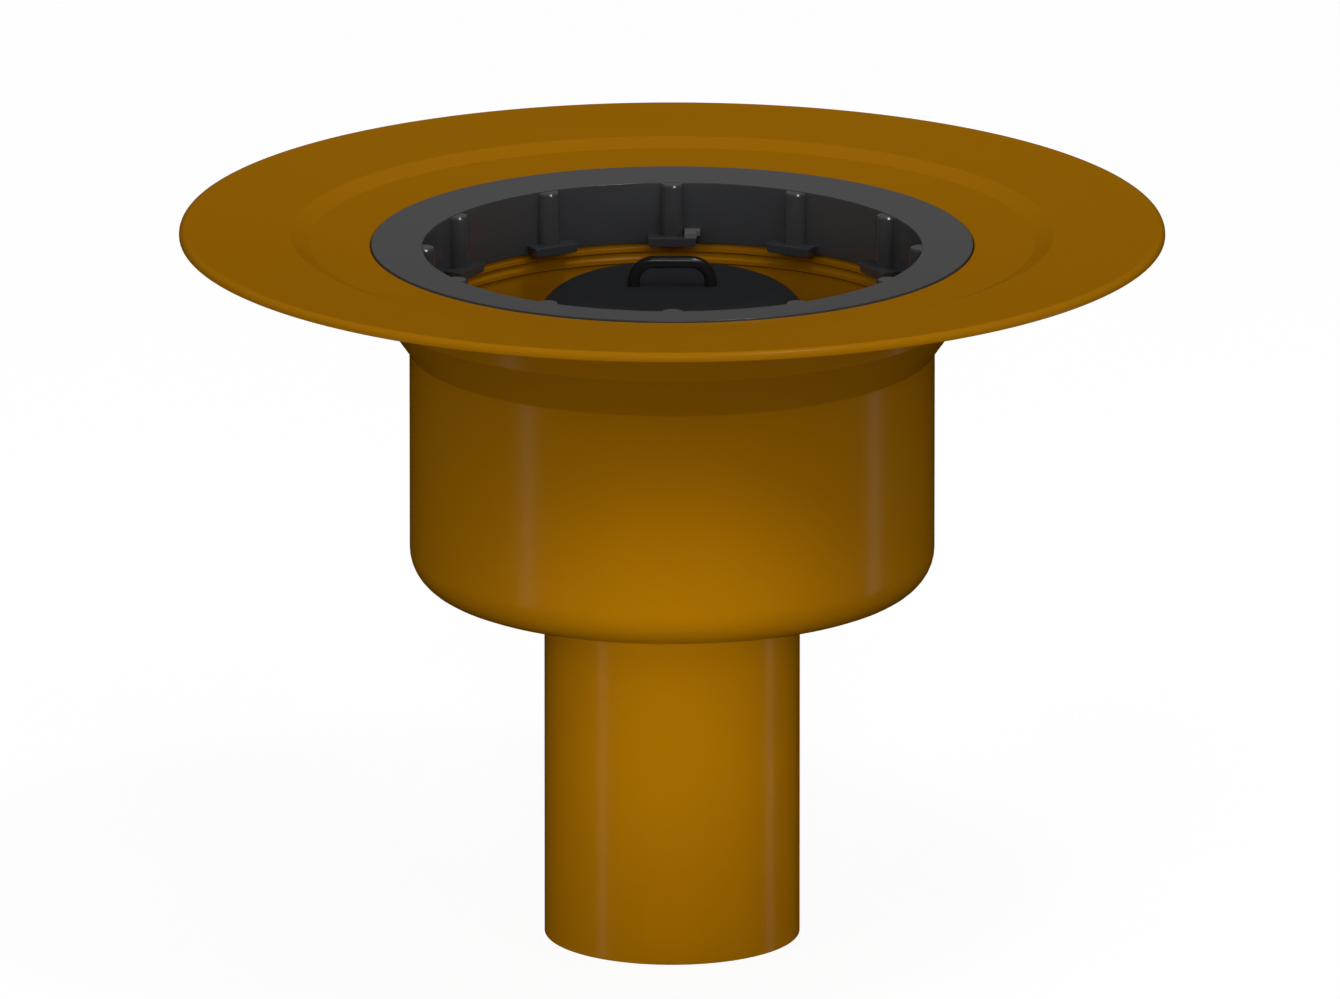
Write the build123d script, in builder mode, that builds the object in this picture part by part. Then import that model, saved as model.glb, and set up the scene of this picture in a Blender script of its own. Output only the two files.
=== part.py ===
from build123d import *
import os
from math import atan2, cos, radians, sin, sqrt, tan

# Floor drain body with a vertical outlet, a support ring in its mouth and a bell trap.
# Sizes are in millimetres. The origin is the centre of the outlet's end face, and +Z is up
# the axis. Every piece is round about that axis but for what is patterned round it.

# Outlet pipe
spigot_radius = 55.0  # outside of a 110 mm pipe
spigot_wall = 4.5
spigot_length = 155.0  # from its end face to the underside of the cup

# Cup and the cone above it
wall = 5.0
cup_radius = 112.9  # outside, and of the throat's wall too, which runs straight on from it
cup_height = 105.25  # from its underside to the foot of the cone
cup_corner = 17.3  # outside radius between the cup's side and its underside
cone_height = 18.85
cone_spread = 13.3  # how much wider the collar is than the cup, on the radius
root_bevel = 3.0  # where the spigot meets the cup's underside

# Throat, which stands up inside the cone, with two grooves in its face
ledge_rise = 18.15  # from the foot of the cone to the throat's top, where the ring stands
groove_count = 2
groove_pitch = 4.8
groove_depth = 1.9  # its two sides slope at 45 degrees
groove_start = 2.3  # from the ledge down to the first groove's centre

# Funnel and flange, which fall towards the drain
fall = 4.0  # degrees
funnel_width = 26.05  # from the ring's recess out to the step
step_width = 8.0
step_rise = 2.75  # what the step adds to the fall
apron_width = 47.95  # from the step out to the rim
flange_thickness = 4.0
rim_bevel = 1.9  # on the rim's upper edge
flange_root = 6.0  # bevel under the flange, where the collar meets it

# Support ring
mouth_inset = 0.7  # how far the ring's wall stands inside the throat
ring_wall = 4.8
ring_skirt = 24.9  # from the ledge to the underside of the lip
lip_overlap = 3.2  # how far the lip reaches past the outside of the collar
lip_clearance = 0.35  # between the lip's edge and its recess
lip_lift = 0.3  # between the lip and the floor of its recess
lip_proud = 0.75  # above the funnel beside it
recess_depth = 3.0
post_count = 12
post_radius = 5.0
post_set_in = 0.4  # from the face of the ring's wall in to the post's axis
post_drop = 0.3  # from the edge of the mouth down to the post's top
post_chamfer = 0.7
foot_width = 21.2
foot_height = 4.1
foot_reach = 3.0  # how far a foot stands in past its post, to carry a riser
foot_draft = 11.0  # degrees

# Standpipe and bell, which hold the water seal between them
rim_drop = 16.4  # from the ledge down to the standpipe's rim
standpipe_radius = 43.0  # outside
standpipe_wall = 3.5
taper_length = 15.0  # above the cup's underside, where the bore narrows to the standpipe's
water_seal = 50.0  # from the standpipe's rim down to the edge of the bell
passage_width = 14.5  # between the standpipe and the bell
passage_height = 23.2  # between the standpipe's rim and the bell's crown
bell_wall = 2.5
bell_shoulder = 21.6  # outside radius between the crown and the skirt
rib_count = 4
rib_thickness = 3.0
rib_grip = 14.0  # how far a rib reaches down outside the standpipe
rib_clearance = 0.5  # between a rib and the side of the standpipe
rib_start = 45.0  # degrees from +X to the first rib
handle_span = 33.1  # between the axes of its legs
handle_rise = 10.6  # from the crown to the axis of its bar
handle_radius = 2.65
handle_bend = 8.7  # on the bar's axis

# Heights worked out from the sizes above
floor_z = spigot_length + wall
cone_foot_z = spigot_length + cup_height
cone_top_z = cone_foot_z + cone_height
ledge_z = cone_foot_z + ledge_rise
taper_top_z = spigot_length + taper_length
recess_z = ledge_z + ring_skirt - lip_lift
funnel_edge_z = recess_z + recess_depth
rim_z = ledge_z - rim_drop
crown_z = rim_z + passage_height + bell_wall
skirt_z = rim_z - water_seal

# Radii worked out from the sizes above
spigot_bore = spigot_radius - spigot_wall
throat_radius = cup_radius - wall
collar_radius = cup_radius + cone_spread
collar_bore = collar_radius - wall
lip_radius = collar_radius + lip_overlap
recess_radius = lip_radius + lip_clearance
step_foot_radius = recess_radius + funnel_width
step_head_radius = step_foot_radius + step_width
flange_radius = step_head_radius + apron_width
mouth_radius = throat_radius - mouth_inset
standpipe_bore = standpipe_radius - standpipe_wall
bell_radius = standpipe_radius + passage_width + bell_wall


# The cone and the taper are as thick as the walls that they join, so the far side of each wall
# turns a little higher.
cone_angle = atan2(cone_spread, cone_height)
taper_angle = atan2(spigot_bore - standpipe_bore, taper_length)
cone_inside_top_z = cone_top_z + wall * tan(cone_angle / 2)
pocket_z = cone_inside_top_z - (collar_bore - cup_radius) / tan(cone_angle)
flare_top_z = taper_top_z + standpipe_wall * tan(taper_angle / 2)


def funnel_z(radius):
    """Height of the funnel's surface at a radius, before the step adds its rise."""
    return funnel_edge_z + (radius - recess_radius) * tan(radians(fall))


def section(corners):
    """Closed outline from corners of (radius, height, rounding)."""
    with BuildSketch() as outline:
        with BuildLine():
            FilletPolyline(
                [(radius, height) for radius, height, rounding in corners],
                radius=[rounding for radius, height, rounding in corners],
                close=True,
            )
        make_face()
    return outline.sketch


def bend_in_flats(centre, radius, start, flats):
    """Corners of a hidden quarter bend round a centre, drawn in flats that touch its radius."""
    step = radians(90) / (flats + 1)
    angles = [radians(start) + step * (corner + 0.5) for corner in range(flats + 1)]
    reach = radius / cos(step / 2)
    return [(centre[0] + reach * cos(a), centre[1] + reach * sin(a), 0) for a in angles]


# Drain body: flange, funnel, collar, cone, cup, standpipe and outlet, moulded in one piece
outside = [
    (spigot_radius, 0, 0),
    (spigot_radius, spigot_length - root_bevel, 0),
    (spigot_radius + root_bevel, spigot_length, 0),
    (cup_radius, spigot_length, cup_corner),
    (cup_radius, cone_foot_z, 0),
    (collar_radius, cone_top_z, 0),
    (collar_radius, funnel_z(collar_radius) - flange_thickness - flange_root, 0),
    (collar_radius + flange_root, funnel_z(collar_radius + flange_root) - flange_thickness, 0),
    (step_foot_radius, funnel_z(step_foot_radius) - flange_thickness, 0),
    (step_head_radius, funnel_z(step_head_radius) + step_rise - flange_thickness, 0),
    (flange_radius, funnel_z(flange_radius) + step_rise - flange_thickness, 0),
]
flange_top = [
    (flange_radius, funnel_z(flange_radius) + step_rise - rim_bevel, 0),
    (flange_radius - rim_bevel, funnel_z(flange_radius - rim_bevel) + step_rise, 0),
    (step_head_radius, funnel_z(step_head_radius) + step_rise, 0),
    (step_foot_radius, funnel_z(step_foot_radius), 0),
    (recess_radius, funnel_edge_z, 0),
    (recess_radius, recess_z, 0),
    (collar_bore, recess_z, 0),
]
throat = [
    (collar_bore, cone_inside_top_z, 0),
    (cup_radius, pocket_z, 0),
    (cup_radius, ledge_z, 0),
    (throat_radius, ledge_z, 0),
]
cup_corner_centre = (cup_radius - cup_corner, spigot_length + cup_corner)
inside = [
    *reversed(bend_in_flats(cup_corner_centre, cup_corner - wall, 270, 1)),
    (spigot_radius, floor_z, 0),
    (standpipe_radius, flare_top_z, 0),
    (standpipe_radius, rim_z, 0),
    (standpipe_bore, rim_z, 0),
    (standpipe_bore, taper_top_z, 0),
    (spigot_bore, spigot_length, 0),
    (spigot_bore, 0, 0),
]
groove_side = groove_depth * sqrt(2)

with BuildPart() as drain_body:
    with BuildSketch(Plane.XZ):
        add(section(outside + flange_top + throat + inside))
    revolve(axis=Axis.Z)
    with BuildSketch(Plane.XZ):
        for groove in range(groove_count):
            groove_z = ledge_z - groove_start - groove * groove_pitch
            with Locations((throat_radius, groove_z)):
                Rectangle(groove_side, groove_side, rotation=45)
    revolve(axis=Axis.Z, mode=Mode.SUBTRACT)


# Support ring: a lip that covers the edge of the funnel, and a wall with a post and a foot
# at every step round it. A riser stands on the feet, and seepage runs down between them.
lip_top_z = funnel_edge_z + lip_proud
mouth_z = lip_top_z - (lip_radius - mouth_radius) * tan(radians(fall))
ring_outer = mouth_radius + ring_wall
ring_section = [
    (mouth_radius, ledge_z, 0),
    (ring_outer, ledge_z, 0),
    (ring_outer, ledge_z + ring_skirt, 0),
    (lip_radius, ledge_z + ring_skirt, 0),
    (lip_radius, lip_top_z, 0),
    (mouth_radius, mouth_z, 0),
]
post_axis = mouth_radius - post_set_in
post_top_z = mouth_z - post_drop
foot_face = post_axis - post_radius - foot_reach
foot_back = mouth_radius + ring_wall / 2

with BuildPart() as support_ring:
    with BuildSketch(Plane.XZ):
        add(section(ring_section))
    revolve(axis=Axis.Z)
    with BuildSketch(Plane.XY.offset(ledge_z + foot_height)):
        with PolarLocations((foot_face + foot_back) / 2, post_count):
            Rectangle(foot_back - foot_face, foot_width)
    extrude(amount=-foot_height, taper=foot_draft)
    with BuildSketch(Plane.XY.offset(ledge_z)):
        with PolarLocations(post_axis, post_count):
            Circle(post_radius)
    extrude(amount=post_top_z - ledge_z - post_chamfer)
    with BuildSketch(Plane.XY.offset(post_top_z - post_chamfer)):
        with PolarLocations(post_axis, post_count):
            Circle(post_radius)
    extrude(amount=post_chamfer, taper=45)


# Trap bell: a domed cap whose ribs stand on the standpipe's rim and centre it there, with a
# bar handle on top
inner_radius = bell_radius - bell_wall
inner_crown_z = crown_z - bell_wall
shoulder_centre = (bell_radius - bell_shoulder, crown_z - bell_shoulder)
bell_outside = [
    (0, skirt_z, 0),
    (bell_radius, skirt_z, 0),
    (bell_radius, crown_z, bell_shoulder),
    (0, crown_z, 0),
]
bell_inside = [
    (0, skirt_z, 0),
    (inner_radius, skirt_z, 0),
    *bend_in_flats(shoulder_centre, bell_shoulder - bell_wall, 0, 2),
    (0, inner_crown_z, 0),
]
rib_foot_z = rim_z - rib_grip
rib_side = standpipe_radius + rib_clearance
rib_angles = [radians(rib_start + 360 / rib_count * rib) for rib in range(rib_count)]
rib_planes = [Plane((0, 0, 0), (cos(a), sin(a), 0), (sin(a), -cos(a), 0)) for a in rib_angles]
handle_foot_z = crown_z - bell_wall / 2
handle_bar_z = crown_z + handle_rise

with BuildPart() as trap_bell:
    with BuildSketch(Plane.XZ):
        add(section(bell_outside))
        add(section(bell_inside), mode=Mode.SUBTRACT)
    revolve(axis=Axis.Z)
    with BuildSketch(*rib_planes):
        add(section(bell_inside))
        offset(amount=bell_wall / 2, kind=Kind.INTERSECTION, mode=Mode.REPLACE)
        with Locations((standpipe_bore, rib_foot_z)):
            Rectangle(bell_radius, crown_z - rib_foot_z, align=Align.MIN, mode=Mode.INTERSECT)
            Rectangle(rib_side - standpipe_bore, rib_grip, align=Align.MIN, mode=Mode.SUBTRACT)
    extrude(amount=rib_thickness / 2, both=True)
    with BuildLine(Plane.XZ) as handle_axis:
        FilletPolyline(
            (-handle_span / 2, handle_foot_z),
            (-handle_span / 2, handle_bar_z),
            (handle_span / 2, handle_bar_z),
            (handle_span / 2, handle_foot_z),
            radius=handle_bend,
        )
    with BuildSketch(Plane.XY.offset(handle_foot_z)):
        with Locations((-handle_span / 2, 0)):
            Circle(handle_radius)
    sweep(path=handle_axis.line)


drain_body.part.label = "drain_body"
support_ring.part.label = "support_ring"
trap_bell.part.label = "trap_bell"

os.makedirs("parts", exist_ok=True)
for piece in (drain_body.part, support_ring.part, trap_bell.part):
    export_step(piece, f"parts/{piece.label}.step")
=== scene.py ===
# %% [markdown]
# # A floor drain body
# The drain is an ochre moulding, turned about one axis: a wide flange that falls towards the
# middle, a funnel, a cup and a pipe. A black ring with posts stands in its mouth, and a black
# bell with a handle sits inside as the odour trap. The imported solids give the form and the
# place of each piece. The sizes below are in millimetres and become metres in one place.

from math import atan2, ceil, cos, radians, sin, tan

import bmesh
import bpy
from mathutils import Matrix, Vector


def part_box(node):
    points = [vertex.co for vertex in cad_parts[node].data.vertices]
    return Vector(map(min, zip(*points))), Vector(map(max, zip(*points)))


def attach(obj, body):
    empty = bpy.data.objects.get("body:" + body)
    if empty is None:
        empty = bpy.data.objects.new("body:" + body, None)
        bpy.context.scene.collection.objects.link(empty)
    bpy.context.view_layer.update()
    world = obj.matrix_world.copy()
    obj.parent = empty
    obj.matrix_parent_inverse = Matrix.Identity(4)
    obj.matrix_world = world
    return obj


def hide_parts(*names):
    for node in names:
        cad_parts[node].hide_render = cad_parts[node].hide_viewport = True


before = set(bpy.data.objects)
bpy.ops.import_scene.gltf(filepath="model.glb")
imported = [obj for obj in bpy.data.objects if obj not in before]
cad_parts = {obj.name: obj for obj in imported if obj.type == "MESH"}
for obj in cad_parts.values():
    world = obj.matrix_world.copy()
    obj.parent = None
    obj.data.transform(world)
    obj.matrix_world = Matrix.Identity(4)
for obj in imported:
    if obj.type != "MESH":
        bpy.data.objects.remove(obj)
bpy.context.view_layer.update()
MM = 0.001
body_low, body_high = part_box("drain_body")
ring_low, ring_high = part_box("support_ring")
bell_low, bell_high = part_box("trap_bell")
flange_radius = body_high.x / MM
body_height = (body_high.z - body_low.z) / MM
ledge_z = ring_low.z / MM
lip_radius = ring_high.x / MM
lip_top = ring_high.z / MM
bell_radius = bell_high.x / MM
skirt_z = bell_low.z / MM
handle_top = bell_high.z / MM
print(f"flange {2 * flange_radius:.1f} mm across, {body_height:.1f} mm high, ledge at {ledge_z:.1f} mm")

# %% [markdown]
# ## A lathe made of extrusions
# Every main form here is round, so each is drawn the way a lathe cuts it. A circle of edges is
# extruded from corner to corner of the section, up or down and then wider or narrower. A
# screw modifier on a drawn outline would do the same. Extruding keeps every step to one plain
# operator, and each corner stays a ring of edges that can be picked and bevelled afterwards.

# %% Start and pick rings of edges
SIDES = 256
NEAR = 0.02


def start_ring(name, radius, height, sides=SIDES, x=0):
    """A circle of edges in edit mode, with its place in its mesh."""
    bpy.ops.object.select_all(action="DESELECT")
    bpy.ops.mesh.primitive_circle_add(
        vertices=sides, radius=radius * MM, location=(x * MM, 0, height * MM)
    )
    bpy.ops.object.transform_apply(location=True)
    piece = bpy.context.object
    piece.name = name
    bpy.ops.object.mode_set(mode="EDIT")
    bpy.ops.mesh.select_mode(type="EDGE")
    return piece


def pick_ring(piece, radius, height):
    """Selects the ring of edges at a radius and a height."""
    edit = bmesh.from_edit_mesh(piece.data)
    for edge in edit.edges:
        edge.select = all(
            abs(v.co.z - height * MM) < NEAR * MM and abs(v.co.xy.length - radius * MM) < NEAR * MM
            for v in edge.verts
        )
    edit.select_flush(True)
    bmesh.update_edit_mesh(piece.data)


print("a turned ring has", SIDES, "edges")

# %% [markdown]
# ## From outline to body
# The outline is a list of corners, each with a radius, a height and a rounding. The sharp body is
# made first. Then each corner's ring is found again by its place and bevelled, in more steps
# the further the outline turns there, so a wide round gets many faces and a fine one few.

# %% Turn a section
BEVEL_STEP = radians(9)


def turning_angle(before, corner, after):
    """How far the outline turns at a corner."""
    first = atan2(corner[1] - before[1], corner[0] - before[0])
    second = atan2(after[1] - corner[1], after[0] - corner[0])
    turn = abs(second - first) % radians(360)
    return min(turn, radians(360) - turn)


def turned(name, corners, closed=True):
    """Turns corners of (radius, height, rounding) into a body. An open section ends on the axis."""
    piece = start_ring(name, corners[0][0], corners[0][1])
    for (radius, height, _), (wider, higher, _) in zip(corners, corners[1:]):
        bpy.ops.mesh.extrude_edges_move(TRANSFORM_OT_translate={"value": (0, 0, (higher - height) * MM)})
        bpy.ops.transform.resize(value=(wider / radius, wider / radius, 1))
    bpy.ops.mesh.select_all(action="DESELECT")
    bpy.ops.mesh.select_non_manifold()
    if closed:
        bpy.ops.mesh.bridge_edge_loops()
    else:
        bpy.ops.mesh.fill_holes(sides=0)
    last = len(corners) - 1
    for n, corner in enumerate(corners):
        if corner[2] and (closed or 0 < n < last):
            turn = turning_angle(corners[n - 1], corner, corners[(n + 1) % len(corners)])
            pick_ring(piece, corner[0], corner[1])
            bpy.ops.mesh.bevel(
                offset=corner[2] * tan(turn / 2) * MM, segments=max(2, ceil(turn / BEVEL_STEP)), profile=0.5
            )
    bpy.ops.mesh.select_all(action="SELECT")
    bpy.ops.mesh.normals_make_consistent(inside=False)
    bpy.ops.object.mode_set(mode="OBJECT")
    print(name, "is turned from", len(corners), "corners")
    return piece


# %% [markdown]
# ## Even shading
# A turned mould has true curves, so gentle turns are shaded smooth and real corners stay crisp.
# Weighted normals then let the large faces win, so a flat lip stays flat beside its narrow
# round and shows no grey smear. Autosmooth would need a file from outside, so it isn't used.

# %% Smooth a piece
SMOOTH_ANGLE = radians(15)


def make_active(piece):
    """Selects one piece alone."""
    bpy.ops.object.select_all(action="DESELECT")
    piece.select_set(True)
    bpy.context.view_layer.objects.active = piece


def smoothed(piece):
    """Smooth over gentle turns, crisp at corners, and flat where a face is flat."""
    make_active(piece)
    bpy.ops.object.shade_smooth_by_angle(angle=SMOOTH_ANGLE)
    weighted = piece.modifiers.new("weighted normals", "WEIGHTED_NORMAL")
    weighted.keep_sharp = True
    bpy.ops.object.modifier_apply(modifier=weighted.name)
    piece.data.calc_loop_triangles()
    print(f"{piece.name}: {len(piece.data.loop_triangles)} triangles")
    return piece


# %% [markdown]
# ## The drain body
# One moulding of even walls. The section runs up the outside from the pipe's end, out under the
# flange, back over its top, down the throat past its two raised beads, and round the standpipe
# in the cup. Real mouldings have small rounds at every edge, and these catch the light as thin
# lines. So the edges that the plain solid leaves sharp get their rounds here.

# %% Sizes of the drain body
fall = tan(radians(4.0))
spigot_radius, spigot_bore, spigot_length = 55.0, 50.5, 155.0
wall, flange_wall = 5.0, 4.0
cup_radius, cup_height, cup_corner = 112.9, 105.25, 17.3
collar_radius, cone_height = 126.2, 18.85
recess_radius, recess_depth, recess_z = 129.75, 3.0, 303.0
step_foot, step_head, step_rise = 155.8, 163.8, 2.75
standpipe_radius, standpipe_bore, rim_z = 43.0, 39.5, 262.0
flare_z, taper_z = 171.1, 170.0
cone_inside, pocket_z = 280.7, 268.9
funnel_z = recess_z + recess_depth
cone_foot = spigot_length + cup_height
throat_radius, collar_bore = cup_radius - wall, collar_radius - wall
collar_top = funnel_z + (collar_radius - recess_radius) * fall - flange_wall
step_foot_z = funnel_z + (step_foot - recess_radius) * fall
step_head_z = funnel_z + (step_head - recess_radius) * fall + step_rise
rim_top = funnel_z + (flange_radius - recess_radius) * fall + step_rise
print(f"cup {2 * cup_radius:.1f} mm across outside and {2 * throat_radius:.1f} mm inside")

# %% Rounds and beads of the drain body
fine_round, crisp_round, even_round, soft_round = 0.2, 0.3, 0.6, 0.8
rim_round, rim_under, flange_root = 2.9, 0.5, 6.0
pipe_root, floor_root, bore_round = 3.0, 1.0, 2.0
bead_depth, bead_slope, bead_face, bead_under = 1.05, 1.2, 1.65, 0.6
bead_pitch, first_bead = 4.9, 1.2
bead_blend, bead_edge, bead_foot = 2.0, 0.25, 0.15
bead_root, bead_taper = throat_radius + bead_depth, 30.0
beads = [ledge_z - first_bead - n * bead_pitch for n in range(2)]
print("beads start at", [round(bead_z, 2) for bead_z in beads], "mm")

# %% Turn the drain body
outside = [
    (spigot_bore, 0, even_round),
    (spigot_radius, 0, even_round),
    (spigot_radius, spigot_length, pipe_root),
    (cup_radius, spigot_length, cup_corner),
    (cup_radius, cone_foot, soft_round),
    (collar_radius, cone_foot + cone_height, soft_round),
    (collar_radius, collar_top, flange_root),
    (step_foot, step_foot_z - flange_wall, soft_round),
    (step_head, step_head_z - flange_wall, soft_round),
    (flange_radius, rim_top - flange_wall, rim_under),
]
top = [
    (flange_radius, rim_top, rim_round),
    (step_head, step_head_z, even_round),
    (step_foot, step_foot_z, even_round),
    (recess_radius, funnel_z, crisp_round),
    (recess_radius, recess_z, 0),
    (collar_bore, recess_z, crisp_round),
    (collar_bore, cone_inside, 0),
    (cup_radius, pocket_z, 0),
    (cup_radius, ledge_z, crisp_round),
    (bead_root, ledge_z, fine_round),
]
throat = []
for bead_z in beads:
    throat += [
        (bead_root, bead_z, bead_blend),
        (throat_radius, bead_z - bead_slope, bead_edge),
        (throat_radius, bead_z - bead_slope - bead_face, bead_foot),
        (bead_root, bead_z - bead_slope - bead_face - bead_under, bead_foot),
    ]
inside = [
    (throat_radius, ledge_z - bead_taper, 0),
    (throat_radius, spigot_length + wall, cup_corner - wall),
    (spigot_radius, spigot_length + wall, floor_root),
    (standpipe_radius, flare_z, pipe_root),
    (standpipe_radius, rim_z, soft_round),
    (standpipe_bore, rim_z, soft_round),
    (standpipe_bore, taper_z, bore_round),
    (spigot_bore, spigot_length, bore_round),
]
drain_body = smoothed(turned("drain_moulding", outside + top + throat + inside))

# %% [markdown]
# ## The support ring
# A black ring lines the mouth. Its lip covers the edge of the funnel, and its wall stands on the
# ledge above the throat. Both are turned like the body, and the lip falls towards the middle
# as the flange does, so that water runs off it.

# %% Turn the lip and the wall
mouth_radius, ring_wall, ring_skirt = 107.2, 4.8, 24.9
lip_round = 0.4
mouth_z = lip_top - (lip_radius - mouth_radius) * fall
ring_back = mouth_radius + ring_wall / 2
support_ring = turned(
    "mouth_ring",
    [
        (mouth_radius, ledge_z, crisp_round),
        (mouth_radius + ring_wall, ledge_z, crisp_round),
        (mouth_radius + ring_wall, ledge_z + ring_skirt, soft_round),
        (lip_radius, ledge_z + ring_skirt, crisp_round),
        (lip_radius, lip_top, lip_round),
        (mouth_radius, mouth_z, lip_round),
    ],
)

# %% [markdown]
# ## Helpers for the small pieces
# The posts, feet and ribs are boxes and cylinders at first. Each is added at its size and place,
# shaped by its faces in edit mode, and has its edges softened. What repeats is shaped once and
# copied about the axis. An array modifier would do that too, but copies are easy to count.

# %% Place, pick, soften, copy and join
def placed(piece):
    """Writes a new piece's place into its mesh."""
    bpy.ops.object.transform_apply(location=True, rotation=True, scale=True)
    return piece


def new_box(low, high):
    """A box between two corners."""
    bpy.ops.object.select_all(action="DESELECT")
    middle = [(a + b) / 2 * MM for a, b in zip(low, high)]
    bpy.ops.mesh.primitive_cube_add(size=MM, location=middle)
    bpy.context.object.scale = [b - a for a, b in zip(low, high)]
    return placed(bpy.context.object)


def pick_faces(piece, wanted):
    """Selects the faces whose normal passes a test."""
    edit = bmesh.from_edit_mesh(piece.data)
    for part in (edit.verts, edit.edges, edit.faces):
        for item in part:
            item.select = False
    for face in edit.faces:
        face.select = wanted(face.normal)
    edit.select_flush_mode()
    bmesh.update_edit_mesh(piece.data)


def softened(piece, edge, steps):
    """Rounds all edges of a piece."""
    bpy.ops.object.mode_set(mode="EDIT")
    bpy.ops.mesh.select_all(action="SELECT")
    bpy.ops.mesh.bevel(offset=edge * MM, segments=steps, profile=0.5)
    bpy.ops.object.mode_set(mode="OBJECT")
    return piece


def copied_round(piece, count):
    """Copies of a piece at even steps about the axis, each with its own mesh."""
    copies = [piece]
    for n in range(1, count):
        make_active(piece)
        bpy.ops.object.duplicate()
        copy = bpy.context.object
        copy.rotation_euler.z = radians(360 / count * n)
        copies.append(placed(copy))
    return copies


def joined(piece, others):
    """Makes a piece and others one mesh."""
    make_active(piece)
    for other in others:
        other.select_set(True)
    bpy.ops.object.join()
    print(piece.name, "takes in", len(others), "more")
    return piece


# %% [markdown]
# ## Posts
# Twelve round posts stand half sunk in the ring's wall, each on a foot that carries a riser. A
# post is a cylinder whose top face is picked by its normal and bevelled in one step. The real
# head has a flat bevel of this kind, and it is what catches the small bright glints.

# %% Shape a post
POSTS = 12
POST_SIDES = 64
UPRIGHT = 0.9
post_radius, post_bevel, post_axis, post_drop = 5.0, 0.7, 106.8, 0.3
foot_width, foot_height, foot_face, foot_narrowing = 21.2, 4.1, 98.8, 0.925


def new_post():
    height = mouth_z - post_drop - ledge_z - foot_height / 2
    bpy.ops.object.select_all(action="DESELECT")
    bpy.ops.mesh.primitive_cylinder_add(
        vertices=POST_SIDES,
        radius=post_radius * MM,
        depth=height * MM,
        location=(post_axis * MM, 0, (mouth_z - post_drop - height / 2) * MM),
    )
    post = placed(bpy.context.object)
    bpy.ops.object.mode_set(mode="EDIT")
    bpy.ops.mesh.select_mode(type="FACE")
    pick_faces(post, lambda normal: normal.z > UPRIGHT)
    bpy.ops.mesh.bevel(offset=post_bevel * MM, segments=1)
    bpy.ops.object.mode_set(mode="OBJECT")
    return post


posts = copied_round(new_post(), POSTS)
print(len(posts), "posts", 2 * post_radius, "mm across")

# %% [markdown]
# ## Feet
# Each post stands on a foot that tapers a little downwards, as a moulded block does so that it
# leaves its tool. It is a box whose bottom face is picked and shrunk, and then softened.

# %% Shape a foot
foot_edge, foot_steps = 0.4, 3


def new_foot():
    foot = new_box(
        (foot_face, -foot_width / 2, ledge_z), (ring_back, foot_width / 2, ledge_z + foot_height)
    )
    bpy.ops.object.mode_set(mode="EDIT")
    bpy.ops.mesh.select_mode(type="FACE")
    pick_faces(foot, lambda normal: normal.z < -UPRIGHT)
    bpy.ops.transform.resize(value=(foot_narrowing, foot_narrowing, 1))
    bpy.ops.object.mode_set(mode="OBJECT")
    return softened(foot, foot_edge, foot_steps)


feet = copied_round(new_foot(), POSTS)
print(len(feet), "feet", foot_width, "mm wide")

# %% [markdown]
# ## A key on the rear foot
# One foot of the twelve carries a small paler key beside its post, with a heel that reaches a
# little past the foot's end. It is two boxes with soft edges, one for the body and one for the
# heel, because a cut in a single box would need more steps for the same shape.

# %% Add the key
key_side, key_end, heel_end = 5.3, 10.5, 12.1
key_front, heel_front = foot_face + 0.15, 103.0
key_height, heel_height, key_sunk = 2.3, 2.6, 0.3
key_edge, key_steps = 0.2, 2
key_z = ledge_z + foot_height


def new_key(end, front, height):
    box = new_box((key_side, front, key_z - key_sunk), (end, ring_back, key_z + height))
    return softened(box, key_edge, key_steps)


key = [new_key(key_end, key_front, key_height), new_key(heel_end, heel_front, heel_height)]
smoothed(joined(support_ring, posts + feet + key))

# %% [markdown]
# ## The trap bell
# The bell is a thin cap with a flat crown and a wide round shoulder. It is an open section: it
# starts and ends near the axis, and the two small holes left there are filled flat. A dome made
# from a sphere would be quicker, but it would pinch at its pole.

# %% Turn the bell
bell_wall, shoulder, skirt_round = 2.5, 21.6, 0.4
crown_z = skirt_z + 75.7
pole = 3.0
trap_bell = turned(
    "bell_cap",
    [
        (pole, crown_z - bell_wall, 0),
        (bell_radius - bell_wall, crown_z - bell_wall, shoulder - bell_wall),
        (bell_radius - bell_wall, skirt_z, skirt_round),
        (bell_radius, skirt_z, skirt_round),
        (bell_radius, crown_z, shoulder),
        (pole, crown_z, 0),
    ],
    closed=False,
)

# %% [markdown]
# ## Ribs inside the bell
# Four ribs under the crown stand on the standpipe's rim, so that water passes under the bell,
# and keep it in the middle. Each is two bars, one above the rim and one hanging beside it.

# %% Shape the ribs
RIBS = 4
rib_thickness, rib_top, rib_grip, rib_gap = 3.0, 283.0, 14.0, 0.5
rib_end, grip_end, grip_top = 50.0, 58.5, 268.0
rib_edge, rib_steps = 0.3, 2


def new_rib_bar(inner, outer, low, high):
    bar = new_box((inner, -rib_thickness / 2, low), (outer, rib_thickness / 2, high))
    return softened(bar, rib_edge, rib_steps)


rib = joined(
    new_rib_bar(standpipe_bore, rib_end, rim_z, rib_top),
    [new_rib_bar(standpipe_radius + rib_gap, grip_end, rim_z - rib_grip, grip_top)],
)
rib.rotation_euler.z = radians(45)
make_active(rib)
ribs = copied_round(placed(rib), RIBS)
print(len(ribs), "ribs stand on the rim at", rim_z, "mm")

# %% [markdown]
# ## The handle
# A round bar bent at its two corners. A ring of edges is extruded up for a leg, spun about the
# bend's centre, extruded along the bar, spun again and extruded down. A curve with a bevel depth
# would be quicker, but this way the handle is a mesh from the start and joins the bell.

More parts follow.
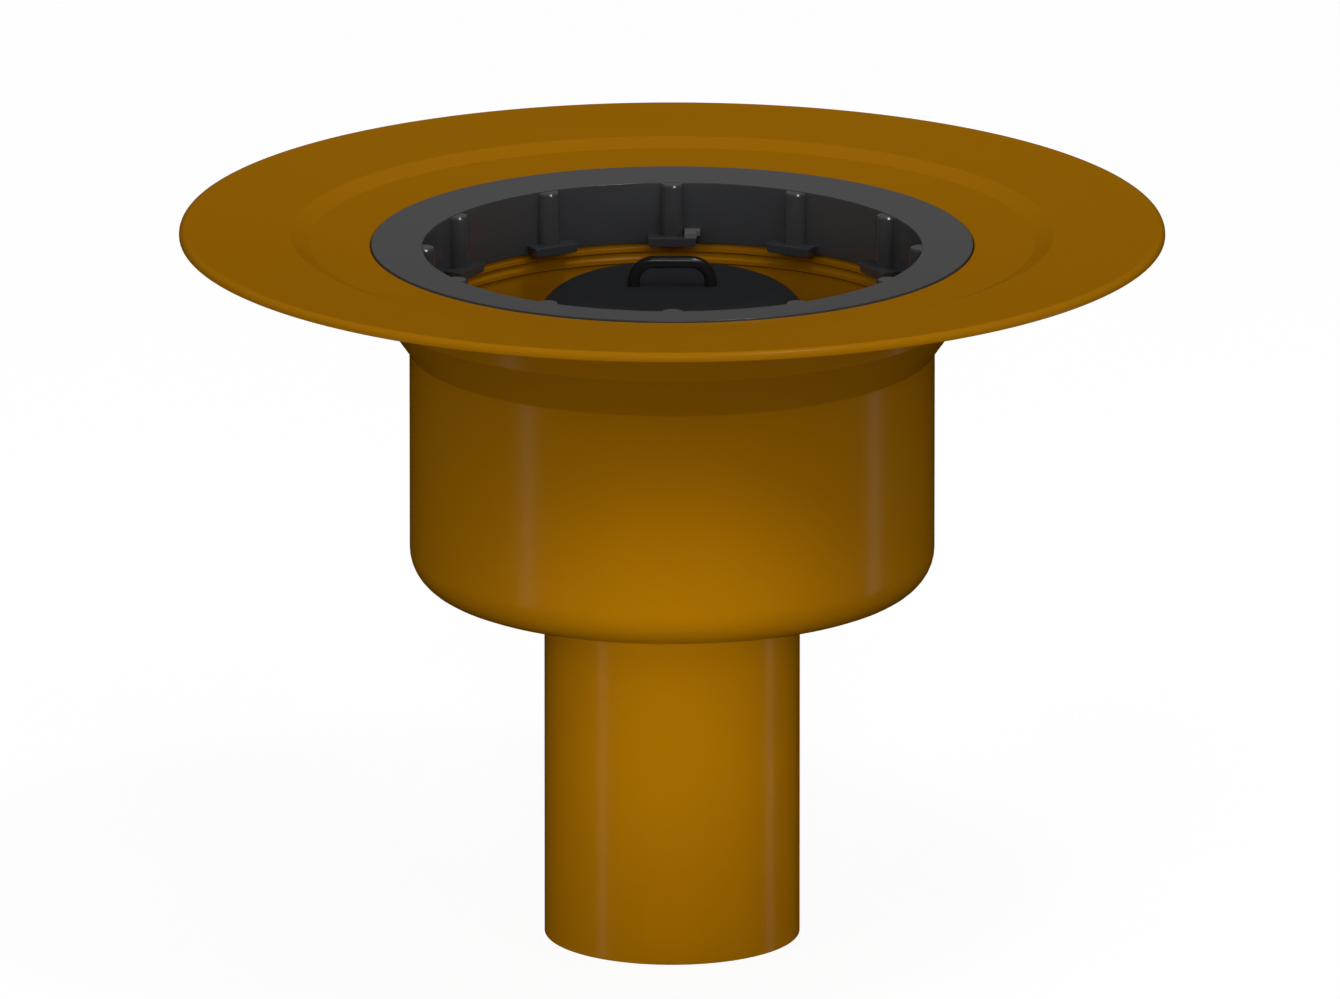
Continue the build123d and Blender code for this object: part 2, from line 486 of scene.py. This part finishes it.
# %% Bend the handle
BAR_SIDES = 48
BEND_STEPS = 14
handle_radius, handle_span, handle_bend = 2.65, 33.1, 8.7
leg = handle_span / 2
bar_z = handle_top - handle_radius
bend_z = bar_z - handle_bend
foot_z = crown_z - bell_wall / 2


def run(x, z):
    bpy.ops.mesh.extrude_edges_move(TRANSFORM_OT_translate={"value": (x * MM, 0, z * MM)})


def bend(centre_x):
    bpy.ops.mesh.spin(
        steps=BEND_STEPS, angle=radians(-90), center=(centre_x * MM, 0, bend_z * MM), axis=(0, 1, 0)
    )


handle = start_ring("handle", handle_radius, foot_z, BAR_SIDES, -leg)
run(0, bend_z - foot_z)
bend(handle_bend - leg)
run(2 * (leg - handle_bend), 0)
bend(leg - handle_bend)
run(0, foot_z - bend_z)
bpy.ops.mesh.select_all(action="SELECT")
bpy.ops.mesh.remove_doubles(threshold=0.01 * MM)
bpy.ops.mesh.select_all(action="SELECT")
bpy.ops.mesh.normals_make_consistent(inside=False)
bpy.ops.object.mode_set(mode="OBJECT")
smoothed(joined(trap_bell, [handle] + ribs))
print("handle top", round(max(v.co.z for v in trap_bell.data.vertices) / MM, 2), "of", round(handle_top, 2))

# %% [markdown]
# ## Plastics
# All finishes are moulded plastic: a colour all the way through, a low sheen, and a skin that is
# never quite even. Noise on Object coordinates varies the roughness and gives a very shallow
# bump, so highlights break up a little. The colour stays almost even, as it is in the granulate.
# The ochre has hardly any sheen, because pale gloss at its edges would wash its colour out.

# %% Make the plastics
CLOUD_SCALE, CLOUD_DETAIL = 14, 4
GRAIN_SCALE, GRAIN_DEPTH, GRAIN_STRENGTH = 900, 0.05, 0.15
ROUGHNESS_SPREAD = 0.03


def plastic(name, dark, light, roughness, sheen):
    """A moulded plastic between two close colours, with an uneven skin."""
    made = bpy.data.materials.new(name)
    made.use_nodes = True
    nodes, links = made.node_tree.nodes, made.node_tree.links
    shader = nodes["Principled BSDF"]
    shader.inputs["Specular IOR Level"].default_value = sheen
    place = nodes.new("ShaderNodeTexCoord")
    cloud = nodes.new("ShaderNodeTexNoise")
    cloud.inputs["Scale"].default_value = CLOUD_SCALE
    cloud.inputs["Detail"].default_value = CLOUD_DETAIL
    links.new(place.outputs["Object"], cloud.inputs["Vector"])
    tint = nodes.new("ShaderNodeMix")
    tint.data_type = "RGBA"
    tint.inputs["A"].default_value = (*dark, 1)
    tint.inputs["B"].default_value = (*light, 1)
    links.new(cloud.outputs["Fac"], tint.inputs["Factor"])
    links.new(tint.outputs["Result"], shader.inputs["Base Color"])
    spread = nodes.new("ShaderNodeMapRange")
    spread.inputs["To Min"].default_value = roughness - ROUGHNESS_SPREAD
    spread.inputs["To Max"].default_value = roughness + ROUGHNESS_SPREAD
    links.new(cloud.outputs["Fac"], spread.inputs["Value"])
    links.new(spread.outputs["Result"], shader.inputs["Roughness"])
    grain = nodes.new("ShaderNodeTexNoise")
    grain.inputs["Scale"].default_value = GRAIN_SCALE
    links.new(place.outputs["Object"], grain.inputs["Vector"])
    skin = nodes.new("ShaderNodeBump")
    skin.inputs["Strength"].default_value = GRAIN_STRENGTH
    skin.inputs["Distance"].default_value = GRAIN_DEPTH * MM
    links.new(grain.outputs["Fac"], skin.inputs["Height"])
    links.new(skin.outputs["Normal"], shader.inputs["Normal"])
    print(name, "has a roughness of about", roughness)
    return made


ochre = plastic("ochre", (0.388, 0.157, 0.0004), (0.402, 0.163, 0.0004), 0.22, 0.07)
black = plastic("ring_black", (0.046, 0.048, 0.052), (0.050, 0.052, 0.056), 0.2, 0.85)
bell_black = plastic("bell_black", (0.023, 0.024, 0.027), (0.027, 0.028, 0.031), 0.38, 0.8)

# %% [markdown]
# ## Painted sheen, painted shade and a paler key
# The lip's top is left rough, so it comes out matt. Where it and the posts' heads look up, it is
# painted paler than the wall, as a painted sheen for the light that face catches. The key is a paler
# grey of its own. The handle is polished, and it is painted a deeper black than the crown as painted
# shade. A mask in the material finds such places by where a face lies and by the way it faces.
# Painted vertex colours would also do it, but a mask follows the sizes if they change.

# %% Set the painted sheen, the painted shade and the key apart
FAR = 1.0
LEVEL = 0.98
MARGIN = 0.1


def calculation(nodes, operation, *values):
    """A Math node, with values on its inputs from the second on."""
    made = nodes.new("ShaderNodeMath")
    made.operation = operation
    for socket, value in zip(made.inputs[1:], values):
        socket.default_value = value
    return made


def recoloured_or_painted_light(material, colour, roughness, limits):
    """Another colour and roughness where each given coordinate lies between its limits."""
    nodes, links = material.node_tree.nodes, material.node_tree.links
    shader = nodes["Principled BSDF"]
    place = nodes.new("ShaderNodeTexCoord")
    within = None
    for source, axis, low, high in limits:
        split = nodes.new("ShaderNodeSeparateXYZ")
        mask = calculation(nodes, "COMPARE", (low + high) / 2, (high - low) / 2)
        links.new(place.outputs[source], split.inputs["Vector"])
        links.new(split.outputs[axis], mask.inputs[0])
        if within:
            both = calculation(nodes, "MULTIPLY")
            links.new(within.outputs["Value"], both.inputs[0])
            links.new(mask.outputs["Value"], both.inputs[1])
            mask = both
        within = mask
    for socket, kind, value in (("Base Color", "RGBA", (*colour, 1)), ("Roughness", "FLOAT", roughness)):
        mixed = nodes.new("ShaderNodeMix")
        mixed.data_type = kind
        factor, kept, other = [s for s in mixed.inputs if s.enabled]
        other.default_value = value
        links.new(within.outputs["Value"], factor)
        links.new(shader.inputs[socket].links[0].from_socket, kept)
        links.new(next(s for s in mixed.outputs if s.enabled), shader.inputs[socket])
    print(material.name, "changes its skin within", len(limits), "limits")


# Painted sheen: the lip's top and the post heads, where they look up, are painted paler than the wall.
painted_sheen_lip_limits = [("Object", "Z", (mouth_z - 0.6) * MM, FAR), ("Normal", "Z", LEVEL, 2 - LEVEL)]
key_limits = [
    ("Object", "X", (key_side - MARGIN) * MM, (heel_end + MARGIN) * MM),
    ("Object", "Y", (key_front - MARGIN) * MM, (mouth_radius - 0.7) * MM),
    ("Object", "Z", (key_z + 0.02) * MM, (key_z + heel_height + MARGIN) * MM),
]
# Painted shade: the handle above the crown is painted a deeper black than the crown.
painted_shade_handle_limits = [("Object", "Z", (crown_z + 0.2) * MM, FAR)]
recoloured_or_painted_light(black, (0.118, 0.118, 0.119), 0.4, painted_sheen_lip_limits)
recoloured_or_painted_light(black, (0.15, 0.15, 0.15), 0.4, key_limits)
recoloured_or_painted_light(bell_black, (0.0105, 0.0105, 0.0115), 0.3, painted_shade_handle_limits)

# %% [markdown]
# ## Dressing
# Each finished mesh takes the place of one imported solid and rides on the drain's only body.
# The solids get the same finish, so that nothing changes
# colour where one of them is shown instead.

# %% Dress the pieces
for piece, node, finish, slot in (
    (drain_body, "drain_body", ochre, "ochre_plastic"),
    (support_ring, "support_ring", black, "black_plastic"),
    (trap_bell, "trap_bell", bell_black, "black_bell"),
):
    piece.data.materials.clear()
    piece.data.materials.append(finish)
    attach(piece, "root")
    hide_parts(node)
    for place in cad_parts[node].material_slots:
        place.material = finish
    print(piece.name, "stands for", node, "in", finish.name)

# %% [markdown]
# ## Floor
# The floor is a wide disc of dull grey paper. It takes the drain's soft shadow and throws a
# little light back up at the cup and the pipe. A Light Path node makes it glow white to the
# camera alone, so a white ground adds no light to the drain. It doesn't show in gloss and doesn't
# stop light, because the lamps that draw the streaks on the walls reach below its level.

# %% Floor
FLOOR_SIDES = 96
FLOOR_RADIUS = 3.0
FLOOR_GREY = 0.16
FLOOR_GLOW = 0.9
bpy.ops.object.select_all(action="DESELECT")
bpy.ops.mesh.primitive_circle_add(vertices=FLOOR_SIDES, radius=FLOOR_RADIUS, fill_type="NGON")
floor = bpy.context.object
floor.name = "floor"
paper = bpy.data.materials.new("pale_floor")
paper.use_nodes = True
nodes, links = paper.node_tree.nodes, paper.node_tree.links
card = nodes["Principled BSDF"]
card.inputs["Base Color"].default_value = (FLOOR_GREY, FLOOR_GREY, FLOOR_GREY, 1)
card.inputs["Specular IOR Level"].default_value = 0
card.inputs["Roughness"].default_value = 1
card.inputs["Emission Color"].default_value = (1, 1, 1, 1)
seen = nodes.new("ShaderNodeLightPath")
level = calculation(nodes, "MULTIPLY", FLOOR_GLOW)
links.new(seen.outputs["Is Camera Ray"], level.inputs[0])
links.new(level.outputs["Value"], card.inputs["Emission Strength"])
floor.data.materials.append(paper)
floor.visible_glossy = False
floor.visible_shadow = False
print("floor", 2 * FLOOR_RADIUS, "m across")

# %% [markdown]
# ## Backdrop and soft light
# The world is white to the camera and lights the drain evenly from above, like a large soft
# ceiling. That does most of the work. Below the horizon it is dark, or the underside would glow.
# It stays out of gloss: nothing here is metal or glass, and a white surround would bleach the
# ochre where it is seen edge on.

# %% World
WORLD_LEVEL = 0.48
world = bpy.data.worlds.new("studio")
bpy.context.scene.world = world
world.use_nodes = True
nodes, links = world.node_tree.nodes, world.node_tree.links
sky = nodes["Background"]
sky.inputs["Color"].default_value = (1, 1, 1, 1)
way = nodes.new("ShaderNodeTexCoord")
parts = nodes.new("ShaderNodeSeparateXYZ")
upper = calculation(nodes, "GREATER_THAN", 0)
soft = calculation(nodes, "MULTIPLY", WORLD_LEVEL)
seen = nodes.new("ShaderNodeLightPath")
level = calculation(nodes, "MULTIPLY_ADD")
links.new(way.outputs["Generated"], parts.inputs["Vector"])
links.new(parts.outputs["Z"], upper.inputs[0])
links.new(upper.outputs["Value"], soft.inputs[0])
links.new(seen.outputs["Is Diffuse Ray"], level.inputs[0])
links.new(soft.outputs["Value"], level.inputs[1])
links.new(seen.outputs["Is Camera Ray"], level.inputs[2])
links.new(level.outputs["Value"], sky.inputs["Strength"])
print("soft light from above at", WORLD_LEVEL)

# %% [markdown]
# ## Lamps
# A small bright lamp high on the right draws the glints on the posts and the rim, and a softer
# one in front lights the flange and the handle. Low lamps in front, left and right fill the cup
# under the flange, and a narrow one picks out the pipe under the cup. Two tall thin lamps far
# at the sides draw the upright streaks of gloss on the round walls. A lamp that is hidden from
# gloss can still show in it by way of the shader's own rays, so multiple importance sampling is
# off for those.

# %% Lamps
def lamp(name, azimuth, distance, height, tilt, size, power, glossy=False, spread=180):
    """A rectangular lamp at an azimuth from the camera's side, tilted down by some degrees."""
    a = radians(azimuth)
    place = (distance * sin(a), -distance * cos(a), height)
    bpy.ops.object.light_add(type="AREA", location=place, rotation=(radians(90 - tilt), 0, a))
    made = bpy.context.object
    made.name = name
    made.data.shape = "RECTANGLE"
    made.data.size, made.data.size_y = size
    made.data.energy = power
    made.data.spread = radians(spread)
    made.visible_camera = False
    made.visible_glossy = glossy
    made.data.cycles.use_multiple_importance_sampling = glossy
    print(name, "lamp", power, "W")


lamp("top", azimuth=50, distance=0.64, height=1.99, tilt=69, size=(0.36, 0.24), power=5, glossy=True)
lamp("front", azimuth=0, distance=1.75, height=1.97, tilt=45, size=(0.64, 0.48), power=3.7, glossy=True)
lamp("front_low", azimuth=0, distance=2.5, height=0.54, tilt=8, size=(0.5, 0.3), power=9.6)
lamp("left", azimuth=-45, distance=2.3, height=1.25, tilt=25, size=(0.5, 0.4), power=3.2)
lamp("right", azimuth=45, distance=2.3, height=1.25, tilt=25, size=(0.5, 0.4), power=3.2)
lamp("pipe_light", azimuth=0, distance=0.6, height=0.26, tilt=15, size=(0.1, 0.06), power=0.034, spread=27)
for name, azimuth, width, power in (("left_strip", -65.3, 0.2, 2.3), ("right_strip", 98.5, 0.17, 1.5)):
    lamp(name, azimuth, distance=2.5, height=-0.45, tilt=0, size=(width, 0.9), power=power, glossy=True)

# %% [markdown]
# ## Camera
# The picture is nearly a parallel view from 15 degrees above. An orthographic camera would give
# just that, and a very long lens far away comes close.

# %% Camera
LENS, TILT, DISTANCE = 1100, 15.26, 17.61
CLIP_END = 100
TARGET = (-0.00092, 0, 0.1926)
e = radians(TILT)
bpy.ops.object.camera_add(
    location=(TARGET[0], TARGET[1] - DISTANCE * cos(e), TARGET[2] + DISTANCE * sin(e)),
    rotation=(radians(90) - e, 0, 0),
)
camera = bpy.context.object
camera.data.lens = LENS
camera.data.clip_end = CLIP_END
bpy.context.scene.camera = camera
bpy.context.scene.view_settings.view_transform = "Standard"
print("camera", DISTANCE, "m away,", TILT, "degrees above, lens", LENS, "mm")
